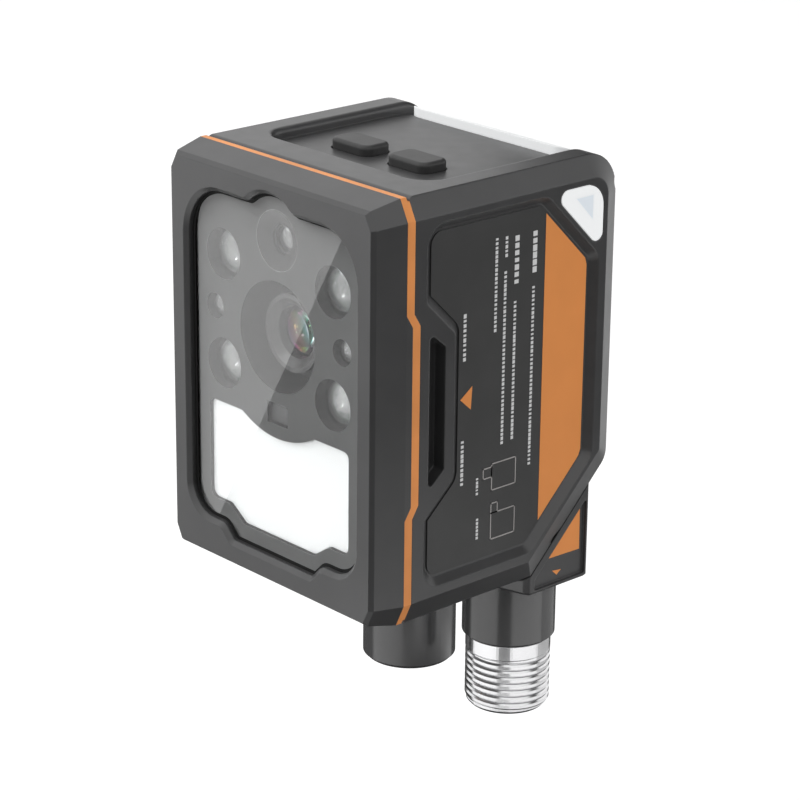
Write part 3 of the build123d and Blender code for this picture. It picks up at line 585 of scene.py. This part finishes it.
def triangle_depth(tree, lines):
    """Distance inside three lines, each (share of Y, share of Z, level) in metres."""
    place = tree.nodes.new("ShaderNodeTexCoord")
    smallest = None
    for across, height, level in lines:
        dot = tree.nodes.new("ShaderNodeVectorMath")
        dot.operation = "DOT_PRODUCT"
        dot.inputs[1].default_value = (0, across, height)
        tree.links.new(place.outputs["Object"], dot.inputs[0])
        inside = tree.nodes.new("ShaderNodeMath")
        inside.operation = "SUBTRACT"
        inside.inputs[1].default_value = level
        tree.links.new(dot.outputs["Value"], inside.inputs[0])
        distance = inside.outputs[0]
        if smallest is not None:
            least = tree.nodes.new("ShaderNodeMath")
            least.operation = "MINIMUM"
            tree.links.new(smallest, least.inputs[0])
            tree.links.new(distance, least.inputs[1])
            distance = least.outputs[0]
        smallest = distance
    return smallest


def tint_centre(material, corners, colour):
    """Mixes a colour into the triangle between three (Y, Z) corners."""
    tree = material.node_tree
    points = [at(0, y, z) for y, z in corners]
    lines = []
    for a, b, c in zip(points, points[1:] + points[:1], points[2:] + points[:2]):
        normal = Vector((0, -(b.z - a.z), b.y - a.y)).normalized()
        if normal.dot(c - a) < 0:
            normal = -normal
        lines.append((normal.y, normal.z, normal.dot(a)))
    soft = tree.nodes.new("ShaderNodeMapRange")
    soft.inputs["From Max"].default_value = SOFT_EDGE
    tree.links.new(triangle_depth(tree, lines), soft.inputs["Value"])
    mix_over(material, soft.outputs[0], colour)
    print(material.name, "has a centre between", len(lines), "lines")


tint_centre(side_milky, CENTRE_CORNERS, CENTRE_BLUE)

# %% [markdown]
# The lens barrel and its holder are turned aluminium, anodised black so that no
# stray light reaches the sensor. The connector's shell is chromed, its pins are
# gold plated, and posts and screws are plain brass and steel. Metal takes its
# colour from what it mirrors, so these differ mostly in roughness.

# %% Metals
black_metal = finish("Black_anodised", (0.035, 0.034, 0.034), 0.35, mottle=0.05)
wear(black_metal, "lens_barrel", "lens_holder", "lens_lock_ring", "swivel_flange")
steel = finish("Plain_steel", (0.6, 0.6, 0.62), 0.3, metal=1.0, mottle=0.05)
wear(steel, "cover_screws", "board_screws", "key_board_screws", "flange_screws",
     "swivel_retainer", "retainer_screws")
chrome = finish("Plated_chrome", (0.84, 0.84, 0.85), 0.20, edge=0.00006, metal=1.0, mottle=0.02)
wear(finish("Turned_brass", (0.78, 0.62, 0.30), 0.25, metal=1.0, mottle=0.05), "board_spacers")
wear(finish("Blackened_barrel", (0.10, 0.10, 0.10), 0.35, metal=0.5), "aimer_barrel")
wear(finish("Gold_plate", (0.85, 0.62, 0.22), 0.2, metal=1.0, mottle=0.03),
     "power_pins", "network_contacts")

# %% [markdown]
# Inside are green circuit boards with black chips and pale lamp chips. The keys
# and their seal are black rubber with a matt skin, and the collars round the
# connectors are a smoother moulded plastic, which mirrors more than the paint.

# %% Inner parts, keys and collars
wear(finish("Board_resist", (0.02, 0.09, 0.05), 0.35), "led_board", "sensor_board",
     "processor_board", "io_board", "key_board", "connector_board")
wear(finish("Chip_body", (0.04, 0.04, 0.045), 0.4), "distance_sensor", "image_sensor",
     "processor_chip", "key_switches")
wear(finish("Lamp_chip", (0.42, 0.42, 0.40), 0.4), "lamp_leds", "diffuser_leds", "status_leds")
wear(finish("Black_rubber", (0.035, 0.035, 0.035), 0.45, grain=0.15, edge=0.0003),
     "button_left", "button_right", "key_seal", "swivel_seal")
collar_plastic = finish("Collar_plastic", (0.085, 0.085, 0.086), 0.2, grain=0.02, edge=0.00015,
                        Specular_IOR_Level=0.9)
wear(collar_plastic, "power_collar", "network_sleeve")

# %% [markdown]
# Ink on a film is a few hundredths of a millimetre thick. Here each printed
# field is a plate of that thickness, made from its outline in Y and Z, so that
# no picture file is needed. A drawn line is a thin bar of the same kind.

# %% Print as thin plates
PRINT_MM, LINE_MM = 0.03, 0.16


def printed(name, outlines, x, ink, body):
    """Thin plates on a face that looks to the right, from outlines in Y and Z."""
    shape = bmesh.new()
    for outline in outlines:
        ring = outline if twice_area(outline) > 0 else outline[::-1]
        low = [shape.verts.new(at(x, y, z)) for y, z in ring]
        high = [shape.verts.new(at(x + PRINT_MM, y, z)) for y, z in ring]
        shape.faces.new(high)
        shape.faces.new(low[::-1])
        for i in range(len(ring)):
            j = (i + 1) % len(ring)
            shape.faces.new((low[i], low[j], high[j], high[i]))
    mesh = bpy.data.meshes.new(name)
    shape.to_mesh(mesh)
    shape.free()
    piece = bpy.data.objects.new(name, mesh)
    scene.collection.objects.link(piece)
    mesh.materials.append(ink)
    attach(piece, body)
    print(name, "has", len(outlines), "printed fields")


def frame_lines(points, width):
    """The sides of a closed outline as thin bars."""
    bars = []
    for (y0, z0), (y1, z1) in zip(points, points[1:] + points[:1]):
        length = math.hypot(y1 - y0, z1 - z0)
        a, b = (y1 - y0) / length * width / 2, (z1 - z0) / length * width / 2
        bars.append([(y0 - a + b, z0 - b - a), (y1 + a + b, z1 + b - a),
                     (y1 + a - b, z1 + b + a), (y0 - a - b, z0 - b + a)])
    return bars


def upright_box(y, z, width, height):
    return [(y, z), (y + width, z), (y + width, z - height), (y, z - height)]


# %% [markdown]
# The label is a dark printed film in the right pocket. On the real one an orange
# field runs along the rear edge, beside a small arrow and two small drawings of
# the ways in which the connectors can point. The block below it has a triangle
# and a pointer in the same orange.

# %% The label and the block's print
LABEL_X, BLOCK_PANEL_X = 20.4, 19.3
wear(finish("Label_film", (0.052, 0.052, 0.052), 0.42), "side_label")
orange_ink = finish("Orange_ink", (0.90, 0.33, 0.09), 0.42, mottle=0.03)
pale_ink = finish("Pale_ink", (0.46, 0.44, 0.43), 0.5, mottle=0.2)
stripe = [(30.0, 22.4), (36.95, 15.45), (37.45, 14.95), (37.78, 14.0), (37.78, -12.1),
          (37.45, -13.0), (36.95, -13.55), (30.0, -20.5)]
arrow = [(15.2, 0.1), (17.3, 1.6), (17.1, -1.6)]
printed("label_orange", [stripe, arrow], LABEL_X, orange_ink, "camera")
boxes = (upright_box(21.15, -10.2, 4.35, 3.7), upright_box(21.15, -17.2, 4.35, 3.7),
         upright_box(19.6, -10.6, 1.55, 1.4), upright_box(21.15, -15.8, 1.15, 1.4))
sketches = [line for box in boxes for line in frame_lines(box, LINE_MM)]
printed("label_sketches", sketches, LABEL_X, pale_ink, "camera")
triangle = [(39.25, -21.35), (39.35, -27.6), (32.75, -27.45)]
pointer = [(34.2, -29.5), (35.9, -29.7), (35.06, -30.3)]
printed("block_orange", [triangle, pointer], BLOCK_PANEL_X, orange_ink, "connectors")

# %% [markdown]
# A lathe helper turns a closed profile into a ring-shaped body, and another
# gathers several meshes into one piece whose place is in its mesh. The pieces
# are joined because the shell, its thread and its key are one part in the hand.

# %% Turned bodies and joined pieces
def turned_mesh(name, profile, material, steps=96):
    """A closed profile of (radius, height) in metres, turned about Z."""
    shape = bmesh.new()
    rings = []
    for k in range(steps):
        a = 2 * math.pi * k / steps
        rings.append([shape.verts.new((r * math.cos(a), r * math.sin(a), z)) for r, z in profile])
    count = len(profile)
    for k in range(steps):
        here, there = rings[k], rings[(k + 1) % steps]
        for i in range(count):
            j = (i + 1) % count
            shape.faces.new((here[i], there[i], there[j], here[j]))
    bmesh.ops.recalc_face_normals(shape, faces=shape.faces)
    mesh = bpy.data.meshes.new(name)
    shape.to_mesh(mesh)
    shape.free()
    mesh.materials.append(material)
    print(name, "turned from", count, "points")
    return mesh


def one_piece(name, parts, body):
    """Joins (mesh, matrix) pairs into one object at the origin."""
    shape = bmesh.new()
    material = parts[0][0].materials[0]
    for mesh, matrix in parts:
        moved = mesh.copy()
        moved.transform(matrix)
        shape.from_mesh(moved)
    mesh = bpy.data.meshes.new(name)
    shape.to_mesh(mesh)
    shape.free()
    for face in mesh.polygons:
        face.material_index = 0
    mesh.materials.append(material)
    piece = bpy.data.objects.new(name, mesh)
    scene.collection.objects.link(piece)
    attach(piece, body)
    print(name, "has", len(mesh.polygons), "faces")
    return piece


# %% [markdown]
# What repeats is made by Geometry Nodes. Every tree here begins with the same
# kind of named inputs and ends with the same two nodes, so two helpers build
# those. A third runs a tree once and hands back its plain mesh, which needs no
# modifier any more.

# %% Node trees
def new_tree(name, numbers):
    """A node tree with named number inputs, a finish and one mesh output."""
    tree = bpy.data.node_groups.new(name, "GeometryNodeTree")
    sockets = tree.interface
    sockets.new_socket("Geometry", in_out="OUTPUT", socket_type="NodeSocketGeometry")
    for label in numbers:
        sockets.new_socket(label, in_out="INPUT", socket_type="NodeSocketFloat")
    sockets.new_socket("Finish", in_out="INPUT", socket_type="NodeSocketMaterial")
    return tree, tree.nodes.new, tree.links.new, tree.nodes.new("NodeGroupInput").outputs


def end_tree(tree, given, shape):
    """Realize Instances and Set Material, as the export asks."""
    real = tree.nodes.new("GeometryNodeRealizeInstances")
    paint = tree.nodes.new("GeometryNodeSetMaterial")
    tree.links.new(shape, real.inputs[0])
    tree.links.new(real.outputs[0], paint.inputs["Geometry"])
    tree.links.new(given["Finish"], paint.inputs["Material"])
    tree.links.new(paint.outputs[0], tree.nodes.new("NodeGroupOutput").inputs[0])
    return tree


def plain_mesh(tree, **values):
    """Runs a tree once with these inputs and returns its mesh."""
    holder = bpy.data.objects.new("Holder", bpy.data.meshes.new("Holder"))
    scene.collection.objects.link(holder)
    modifier = holder.modifiers.new("Tree", "NODES")
    modifier.node_group = tree
    for item in tree.interface.items_tree:
        if item.item_type == "SOCKET" and item.in_out == "INPUT":
            modifier[item.identifier] = values[item.name]
    graph = bpy.context.evaluated_depsgraph_get()
    mesh = bpy.data.meshes.new_from_object(holder.evaluated_get(graph))
    holder.modifiers.remove(modifier)
    bpy.data.objects.remove(holder)
    return mesh


# %% [markdown]
# Where printed lines run on a real label, this one has plain columns of short
# bars: a line of points, and one bar on each point, whose length is drawn from
# a fixed seed. Each column below is given by its place in Y, its low end, its
# length and its width, in millimetres.

# %% Columns of bars from nodes
SHORTEST, LONGEST = 0.45, 0.88
BEAT_IN_WIDTHS = 1.3
COLUMNS = (
    (28.1, 14.7, 6.4, 0.75), (28.0, -12.1, 25.6, 0.45), (24.85, 13.7, 7.4, 0.75),
    (24.7, -7.6, 19.5, 0.45), (22.95, 17.8, 3.4, 0.45), (22.85, -7.9, 24.3, 0.45),
    (21.2, 8.0, 13.2, 0.45), (15.8, 5.2, 6.8, 0.5), (15.7, -12.0, 6.9, 0.5),
    (18.5, -14.0, 3.1, 0.4), (18.65, -20.3, 3.4, 0.4),
)


def bar_tree():
    """Bars along +Z from 0: X is the print's thickness, Y the bar's width."""
    inputs = ("Length", "Beat", "Width", "Thick", "Seed")
    tree, add, link, given = new_tree("Bar_column", inputs)

    def maths(kind, first, second=None):
        node = add("ShaderNodeMath")
        node.operation = kind
        for socket, value in zip(node.inputs, (first, second)):
            if isinstance(value, float):
                socket.default_value = value
            elif value is not None:
                link(value, socket)
        return node.outputs[0]

    line = add("GeometryNodeMeshLine")
    step, start, size = (add("ShaderNodeCombineXYZ") for _ in range(3))
    link(given["Beat"], step.inputs["Z"])
    link(maths("MULTIPLY", given["Beat"], 0.5), start.inputs["Z"])
    link(maths("FLOOR", maths("DIVIDE", given["Length"], given["Beat"])), line.inputs["Count"])
    link(start.outputs[0], line.inputs["Start Location"])
    link(step.outputs[0], line.inputs["Offset"])
    chance = add("FunctionNodeRandomValue")
    chance.data_type = "FLOAT"
    chance.inputs["Min"].default_value = SHORTEST
    chance.inputs["Max"].default_value = LONGEST
    link(given["Seed"], chance.inputs["Seed"])
    link(given["Thick"], size.inputs["X"])
    link(given["Width"], size.inputs["Y"])
    link(maths("MULTIPLY", chance.outputs[1], given["Beat"]), size.inputs["Z"])
    bar = add("GeometryNodeMeshCube")
    place = add("GeometryNodeInstanceOnPoints")
    link(line.outputs[0], place.inputs["Points"])
    link(bar.outputs[0], place.inputs["Instance"])
    link(size.outputs[0], place.inputs["Scale"])
    return end_tree(tree, given, place.outputs[0])


bars = bar_tree()
columns = []
for number, (y, low, length, width) in enumerate(COLUMNS):
    mesh = plain_mesh(bars, Length=length / 1000, Beat=width * BEAT_IN_WIDTHS / 1000,
                      Width=width / 1000, Thick=PRINT_MM / 1000, Seed=float(number),
                      Finish=pale_ink)
    columns.append((mesh, Matrix.Translation(at(LABEL_X + PRINT_MM / 2, y, low))))
one_piece("label_columns", columns, "camera")

# %% [markdown]
# A thread is one ridge that winds up a cylinder. Geometry Nodes sweep it along a
# helix: a bar of trapezoid section on a spiral, tapered at both ends as a real
# thread runs out. Root is the width of its inner side and crest of its outer
# side, so the same tree also gives threads inside a hole, with other numbers.

# %% A thread from nodes
POINTS_PER_TURN = 72
END_SIZE, TAPER_SHARE = 0.1, 0.04


def thread_tree():
    inputs = ("Turns", "Pitch", "Radius", "Root", "Crest", "Depth")
    tree, add, link, given = new_tree("Thread", inputs)
    helix = add("GeometryNodeCurveSpiral")
    helix.inputs["Resolution"].default_value = POINTS_PER_TURN
    height = add("ShaderNodeMath")
    height.operation = "MULTIPLY"
    link(given["Turns"], height.inputs[0])
    link(given["Pitch"], height.inputs[1])
    link(given["Turns"], helix.inputs["Rotations"])
    link(given["Radius"], helix.inputs["Start Radius"])
    link(given["Radius"], helix.inputs["End Radius"])
    link(height.outputs[0], helix.inputs["Height"])
    share = add("GeometryNodeSplineParameter")
    fade = add("ShaderNodeFloatCurve")
    points = fade.mapping.curves[0].points
    points[0].location = (0.0, END_SIZE)
    points[1].location = (1.0, END_SIZE)
    points.new(TAPER_SHARE, 1.0)
    points.new(1.0 - TAPER_SHARE, 1.0)
    fade.mapping.update()
    link(share.outputs["Factor"], fade.inputs["Value"])
    section = add("GeometryNodeCurvePrimitiveQuadrilateral")
    section.mode = "TRAPEZOID"
    link(given["Root"], section.inputs["Bottom Width"])
    link(given["Crest"], section.inputs["Top Width"])
    link(given["Depth"], section.inputs["Height"])
    section.inputs["Offset"].default_value = 0.0
    turned = add("GeometryNodeTransform")
    turned.inputs["Rotation"].default_value = (0, 0, math.pi / 2)
    link(section.outputs[0], turned.inputs["Geometry"])
    upright = add("GeometryNodeSetCurveNormal")
    upright.mode = "Z_UP"
    link(helix.outputs[0], upright.inputs["Curve"])
    sweep = add("GeometryNodeCurveToMesh")
    sweep.inputs["Fill Caps"].default_value = True
    link(upright.outputs[0], sweep.inputs["Curve"])
    link(turned.outputs[0], sweep.inputs["Profile Curve"])
    link(fade.outputs[0], sweep.inputs["Scale"])
    return end_tree(tree, given, sweep.outputs[0])


thread = thread_tree()
print("the thread's tree has", len(thread.nodes), "nodes")


def thread_mesh(material, **sizes):
    """One thread ridge along +Z from 0, with soft turns and sharp corners."""
    mesh = plain_mesh(thread, Finish=material, **sizes)
    mesh.shade_smooth()
    mesh.set_sharp_from_angle(angle=math.radians(30))
    reach = [math.hypot(v.co.x, v.co.y) * 1000 for v in mesh.vertices]
    print("thread from radius", round(min(reach), 2), "to", round(max(reach), 2), "mm")
    return mesh


# %% [markdown]
# The male connector is a chromed brass shell: a smooth neck under the collar,
# the rolled thread, a plain rim, and the bore with the small key that lines up
# the plug. The shell is turned from its profile, and the ridge of the thread
# and the key are set in.

# %% The chromed shell
NECK_LOW = -43.75
CORE = 5.7
THREAD_START = 165
KEY_SIZE = (0.0011, 0.00085, 0.0075)
KEY_IN, KEY_UP = 4.575, 4.75


def key_bar():
    shape = bmesh.new()
    bmesh.ops.create_cube(shape, size=1.0)
    mesh = bpy.data.meshes.new("Key_bar")
    shape.to_mesh(mesh)
    shape.free()
    mesh.materials.append(chrome)
    middle = at(CONNECTOR_X, SWIVEL_Y - KEY_IN, TIP + KEY_UP)
    return mesh, Matrix.Translation(middle) @ Matrix.Diagonal((*KEY_SIZE, 1))


SHELL_MM = (
    (5.0, BLOCK_LOW + 1.7), (5.0, -41.65), (5.95, -41.65), (6.0, -41.75), (6.0, NECK_LOW),
    (5.85, NECK_LOW - 0.2), (CORE, NECK_LOW - 0.35), (CORE, TIP + 0.75), (5.75, TIP + 0.6),
    (5.75, TIP + 0.4), (5.4, TIP), (4.95, TIP), (4.75, TIP + 0.2), (4.75, -40.65),
    (4.2, -40.65), (4.2, BLOCK_LOW + 1.7),
)
shell = turned_mesh("Shell", [(r / 1000, z / 1000) for r, z in SHELL_MM], chrome)
down_axis = Matrix.Translation(at(CONNECTOR_X, SWIVEL_Y, 0))
shell_thread = thread_mesh(chrome, Turns=7.65, Pitch=0.001, Radius=0.00586, Root=0.00096,
                           Crest=0.00044, Depth=0.00022)
thread_low = Matrix.Translation(at(CONNECTOR_X, SWIVEL_Y, TIP + 0.65))
thread_place = thread_low @ Matrix.Rotation(math.radians(THREAD_START), 4, "Z")
chrome_shell = one_piece(
    "chrome_shell", [(shell, down_axis), (shell_thread, thread_place), key_bar()],
    "connectors",
)
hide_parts("power_shell")

# %% [markdown]
# The female sleeve beside it carries its thread inside, round the insert, where
# the nut of a cable screws in. The four tapped holes in the rear face are
# threaded too, since they hold the camera on its bracket.

# %% Inner threads
THREAD_LOW_Z = -51.3
HOLE_X, HOLE_Z, HOLE_THREAD_DEEP = 15, 10, 4.6
sleeve_thread = thread_mesh(collar_plastic, Turns=8.5, Pitch=0.001, Radius=0.0053, Root=0.0003,
                            Crest=0.0008, Depth=0.0004)
sleeve_place = Matrix.Translation(at(-CONNECTOR_X, SWIVEL_Y, THREAD_LOW_Z))
one_piece("sleeve_thread", [(sleeve_thread, sleeve_place)], "connectors")
hole_thread = thread_mesh(body_paint, Turns=8.5, Pitch=0.0005, Radius=0.00117, Root=0.0001,
                          Crest=0.0004, Depth=0.00022)
into_face = Matrix.Rotation(math.radians(-90), 4, "X")
holes = [at(sx * HOLE_X, BODY_DEPTH - HOLE_THREAD_DEEP, MOUNT_ABOVE_MID + sz * HOLE_Z)
         for sx in (-1, 1) for sz in (-1, 1)]
one_piece("mount_threads", [(hole_thread, Matrix.Translation(hole) @ into_face) for hole in holes],
          "camera")
